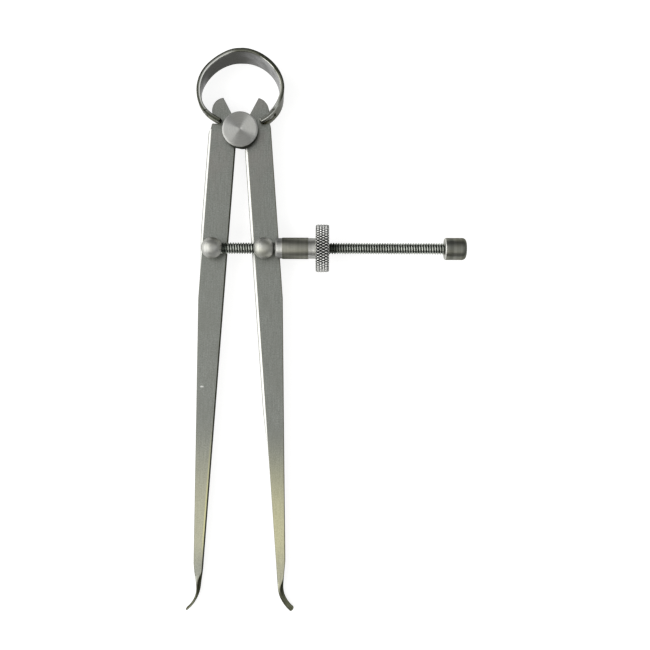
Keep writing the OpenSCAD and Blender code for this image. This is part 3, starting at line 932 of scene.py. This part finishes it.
def threaded_steel():
    """Dark oiled steel: worn light on the thread's crests, with roots dark from green-grey oil and painted
    shade.
    """
    material, tree, place = new_material("oiled thread steel")
    tarnish = place_group(tarnish_group, place, Size=oil_tarnish_size)
    worn = blend(spread(mark(tree, "crest"), *crest_wear), root_oil_and_shade, crest_colour)
    colour = blend(times(tarnish["Patches"], oil_stain_share), worn, oil_stain)
    gloss = spread(tarnish["Patches"], 0.0, 1.0, screw_smooth, screw_rough)
    steel_shader(colour, gloss, tarnish["Specks"], oil_relief, screw_edge_tint)
    return material


thread_points, crest_with_shadows = thread_surface()
add_piece(
    "threaded_screw", thread_points, grid_faces(*thread_points.shape[:2]), "screw", "adjusting_screw",
    threaded_steel(), {"crest": crest_with_shadows})

# The adjusting nut is one turned piece: a bright nose that seats on the right ball, a barrel, a bright neck
# and a flange whose rim is rolled with a diamond knurl for the fingers.
nut_low, nut_high = node_box("adjusting_nut")
nut_length = nut_high[0] - nut_low[0]
flange_radius = (nut_high[2] - nut_low[2]) / 2
flange_width = 4.1
flange_start = nut_length - flange_width
nose_gap = 0.4
nose_chamfer = 0.5
seat_mouth = 2.35
seat_depth = 0.9
band_radius = 3.15
band_length = 2.3
barrel_radius = 3.3
barrel_start = 2.55
barrel_end = flange_start - band_length
dish_radius = 5.5
dish_depth = 0.3
rim_round = 0.5
rim_count = 57
front_rounds = (0.08, 0.1, 0.1, 0.05, 0.06, 0.06, 0.05, 0.12, 0.1, 0.1)
back_rounds = (0.1, 0.1, 0.08)
bore_lap = 0.2
knurl_count = 50
knurl_column = 0.82
knurl_depth = 0.42
knurl_fade = 0.25
knurl_flat = 1.3
bright_dark, bright_light = (0.50, 0.505, 0.495), (0.60, 0.605, 0.595)
barrel_dark, barrel_light = (0.20, 0.20, 0.175), (0.25, 0.25, 0.22)
nut_stain = (0.32, 0.32, 0.27)
# Knurl points are partly worn and partly painted highlight; grooves are partly dirt and partly painted shade
knurl_worn_and_lit = (0.80, 0.81, 0.79)
knurl_dirt_and_shade = (0.004, 0.004, 0.004)
nut_edge_tint = (0.08, 0.08, 0.075)
nut_stain_share = 0.35
nut_ring_spacing = 0.22
nut_relief = 0.004
colour_blur = 0.05
# Heights on the knurl, as shares, between which the dark grooves, partly dirt and partly painted shade,
# clear, and the points, partly worn and partly painted highlight, come in
dirt_and_shade_band = (0.36, 0.6)
worn_and_lit_band = (0.3, 0.7)
band_rough, barrel_rough = 0.44, 0.46


def nut_profile():
    """Closed half section: seat, nose, barrel, neck, flange face, the rim's rows, far face and bore."""
    front_dish, back_dish = flange_start + dish_depth, nut_length - dish_depth
    seat_end = nose_gap + seat_depth
    front = rounded_path(
        [(bore_radius, seat_end), (seat_mouth, nose_gap), (band_radius - nose_chamfer, nose_gap),
         (band_radius, nose_gap + nose_chamfer), (band_radius, barrel_start), (barrel_radius, barrel_start),
         (barrel_radius, barrel_end), (band_radius, barrel_end), (band_radius, front_dish),
         (dish_radius, front_dish), (dish_radius + dish_depth, flange_start),
         (flange_radius - rim_round, flange_start)],
        front_rounds, 4)
    across = np.linspace(0, flange_width, rim_count)
    from_edge = np.minimum(across, flange_width - across)
    fall = rim_round - np.sqrt(rim_round ** 2 - np.clip(rim_round - from_edge, 0, rim_round) ** 2)
    rim = np.stack([flange_radius - fall, flange_start + across], -1)
    back = rounded_path(
        [(flange_radius - rim_round, nut_length), (dish_radius + dish_depth, nut_length),
         (dish_radius, back_dish), (bore_radius, back_dish), (bore_radius, seat_end + bore_lap)],
        back_rounds, 4)
    profile = np.concatenate([front[:-1], rim, back[1:]])
    knurled = np.zeros(len(profile))
    knurled[len(front) - 1:len(front) - 1 + rim_count] = smooth_step(from_edge / knurl_fade)
    return profile, knurled


def nut_surface(segments=12 * knurl_count):
    """The half section turned about the screw, with two crossing helices of grooves cut into the rim.

    A groove's depth is a triangle wave across it; a point stands where both waves are high.
    """
    profile, knurled = nut_profile()
    angle = np.linspace(0, 2 * np.pi, segments, endpoint=False)
    around = knurl_count * angle / (2 * np.pi)
    along = (profile[:, 1:] - flange_start) / (2 * knurl_column)
    first = np.abs(2 * ((around + along) % 1) - 1)
    second = np.abs(2 * ((around - along) % 1) - 1)
    point = np.clip(knurl_flat * np.minimum(1 - first, 1 - second), 0, 1)
    cut = knurled[:, None] * (1 - point)
    radius = profile[:, :1] - knurl_depth * cut
    x = np.broadcast_to(nut_low[0] + profile[:, 1:], radius.shape)
    points = np.stack([x, screw_y + radius * np.cos(angle), screw_z + radius * np.sin(angle)], -1)
    return points, {"point": 1 - cut, "rim": np.broadcast_to(knurled[:, None], cut.shape)}


def knurled_nut_steel():
    """Bright turned steel: a barrel duller than its bands, points worn bright with painted highlights, and
    grooves dark with dirt and painted shade.
    """
    material, tree, place = new_material("knurled nut steel")
    along = split(place)[0]
    turned = about_screw(place, (screw_y, screw_z))
    rings = place_group(turning_group, turned, Spacing=nut_ring_spacing)
    tarnish = place_group(tarnish_group, place, Size=turned_tarnish_size)
    bright = blend(rings["Tone"], bright_dark, bright_light)
    dull = blend(rings["Tone"], barrel_dark, barrel_light)
    first, last, face = [nut_low[0] + step for step in (barrel_start, barrel_end, flange_start)]
    past_nose = over(along, (first - colour_blur, first + colour_blur))
    on_barrel = times(past_nose, over(along, (last + colour_blur, last - colour_blur)))
    rim = mark(tree, "rim")
    on_face = times(over(along, (face - colour_blur, face)), reckon("SUBTRACT", 1.0, rim))
    clean = blend(reckon("MAXIMUM", on_barrel, on_face), bright, dull)
    stained = blend(times(tarnish["Patches"], nut_stain_share), clean, nut_stain)
    point = mark(tree, "point")
    # Points are partly worn and partly painted highlight; grooves are partly dirt and partly painted shade
    tipped = blend(spread(point, *worn_and_lit_band), stained, knurl_worn_and_lit)
    worn = blend(rim, stained, tipped)
    colour = blend(spread(point, *dirt_and_shade_band), knurl_dirt_and_shade, worn)
    gloss = spread(on_barrel, 0.0, 1.0, band_rough, barrel_rough)
    steel_shader(colour, gloss, rings["Height"], nut_relief, nut_edge_tint)
    return material


nut_points, nut_marks = nut_surface()
add_piece(
    "knurled_nut", nut_points, grid_faces(*nut_points.shape[:2], wrap_rows=True), "nut", "adjusting_nut",
    knurled_nut_steel(), nut_marks)

# The end cap is a plain turned button, driven onto the screw so that the nut can't run off it.
# Its near edge is worn a little brighter than the rest.
cap_low, cap_high = node_box("screw_end_cap")
cap_radius = (cap_high[2] - cap_low[2]) / 2
cap_overlap, cap_trim = 0.35, 0.55
cap_start = cap_low[0] - cap_overlap
cap_length = cap_high[0] - cap_trim - cap_start
cap_chamfer = 0.28
cap_edge = 0.08
cap_round = 1.2
cap_dark = (0.145, 0.15, 0.132)
cap_light = (0.22, 0.225, 0.20)
cap_stain = (0.155, 0.15, 0.105)
# Wear on the near edge and face: how much, and how far it goes inwards, along the barrel and off the face
edge_wear, face_wear = 0.55, 0.12
wear_in, wear_along, wear_off = 0.06, 0.02, 0.01
cap_profile = rounded_path(
    [(0, 0), (cap_radius - cap_chamfer, 0), (cap_radius, cap_chamfer), (cap_radius, cap_length),
     (0, cap_length)],
    (cap_edge, cap_edge, cap_round), 9)
cap_points = turned_grid(cap_profile, turned_segments, along_x=True) + np.array([cap_start, screw_y, screw_z])
cap_steel = turned_steel(
    "turned cap steel", cap_dark, cap_light, cap_stain,
    rough=0.4, spacing=0.3, relief=0.004, centre=(screw_y, screw_z))
from_axis, from_face = cap_profile.T
near_edge = (from_axis > cap_radius - cap_chamfer - wear_in) & (from_face < cap_chamfer + wear_along)
near_face = from_face < wear_off
cap_worn = np.repeat(np.maximum(edge_wear * near_edge, face_wear * near_face), turned_segments)
add_piece(
    "turned_end_cap", cap_points, grid_faces(*cap_points.shape[:2]), "screw", "screw_end_cap",
    cap_steel, {"worn": cap_worn})

# The studio: a pale floor that the caliper rests on by its spool and tips, a dome that darkens to its foot
# and towards the caliper's ends, soft cards of light, and a camera that looks straight down.
floor_rise = 3.8 / 146
floor_reach = 8000.0
floor_colour = (0.36, 0.36, 0.36, 1)
floor_lift = 0.82
# Height of a direction in the dome, from 0 to 1, between which its light grows, and that light
dome_climb, dome_light = (0.2, 0.97), (0.06, 0.93)
# Share of a direction along Y between which the dome loses light, and what it keeps
dome_ends, dome_keep = (0.15, 0.65), (1.0, 0.4)
view_centre = np.array([26.55, -60.5, 0.0])
photo_pixels = 650
pixel_size = 0.3148
camera_height = 255.0
camera_roll = np.radians(0.225)


def pale_floor():
    """A matt floor; rays from the camera and from gloss see it lifted to white, and the shadow stays."""
    material, tree, _ = new_material("pale floor")
    path = put(tree, "ShaderNodeLightPath").outputs
    seen = reckon("MAXIMUM", path["Is Camera Ray"], path["Is Glossy Ray"])
    seen = reckon("MAXIMUM", seen, path["Is Transmission Ray"])
    matt = put(tree, "ShaderNodeBsdfDiffuse", {"Color": floor_colour})
    lift = put(tree, "ShaderNodeEmission", {"Color": (1, 1, 1, 1), "Strength": times(seen, floor_lift)})
    both = put(tree, "ShaderNodeAddShader", {0: matt.outputs[0], 1: lift.outputs[0]})
    put(tree, "ShaderNodeOutputMaterial", {"Surface": both.outputs[0]})
    return material


floor_corner = np.array([[-1, -1], [1, -1], [1, 1], [-1, 1]]) * floor_reach
floor_height = -floor_rise * (floor_corner[:, 1] + back_disc_radius)
floor_mesh = bpy.data.meshes.new("floor")
floor_mesh.from_pydata((np.c_[floor_corner, floor_height] * MM).tolist(), [], [[0, 1, 2, 3]])
floor_mesh.materials.append(pale_floor())
floor = new_object("floor", floor_mesh)

world = bpy.data.worlds.new("studio")
scene.world = world
world.use_nodes = True
dome = world.node_tree
dome.nodes.clear()
direction = split(put(dome, "ShaderNodeTexCoord").outputs["Generated"])
climb = spread(direction[2], *dome_climb, *dome_light)
keep = spread(reckon("ABSOLUTE", direction[1]), *dome_ends, *dome_keep)
sky = put(dome, "ShaderNodeBackground", {"Color": (1, 1, 1, 1), "Strength": times(climb, keep)})
put(dome, "ShaderNodeOutputWorld", {"Surface": sky.outputs[0]})


def light_card(name, place, size, radiance, colour):
    """A rectangular soft light aimed at the middle of the view; its power is radiance times area times pi."""
    lamp = bpy.data.lights.new(name, "AREA")
    lamp.shape = "RECTANGLE"
    lamp.size, lamp.size_y = size
    lamp.energy = radiance * size[0] * size[1] * np.pi
    lamp.color = colour
    card = new_object(name, lamp)
    card.location = (view_centre + np.array(place)) * MM
    card.rotation_euler = (-Vector(place)).to_track_quat("-Z", "Y").to_euler()


light_card("left card", (-560, 0, 330), (0.9, 0.7), 2.6, (1.0, 0.99, 0.97))
light_card("right card", (640, 60, 420), (0.35, 0.35), 0.9, (0.97, 0.98, 1.0))
light_card("front card", (-60, -430, 720), (0.9, 0.22), 1.5, (1.0, 0.97, 0.86))

camera_data = bpy.data.cameras.new("photo camera")
camera_data.sensor_fit = "HORIZONTAL"
camera_data.lens = camera_data.sensor_width * camera_height / (photo_pixels * pixel_size)
camera_data.clip_start = 0.01
camera = new_object("photo camera", camera_data)
camera.location = (view_centre + np.array([0, 0, leg_middle + camera_height])) * MM
camera.rotation_euler = (0, 0, camera_roll)
scene.camera = camera
scene.view_settings.view_transform = "Standard"
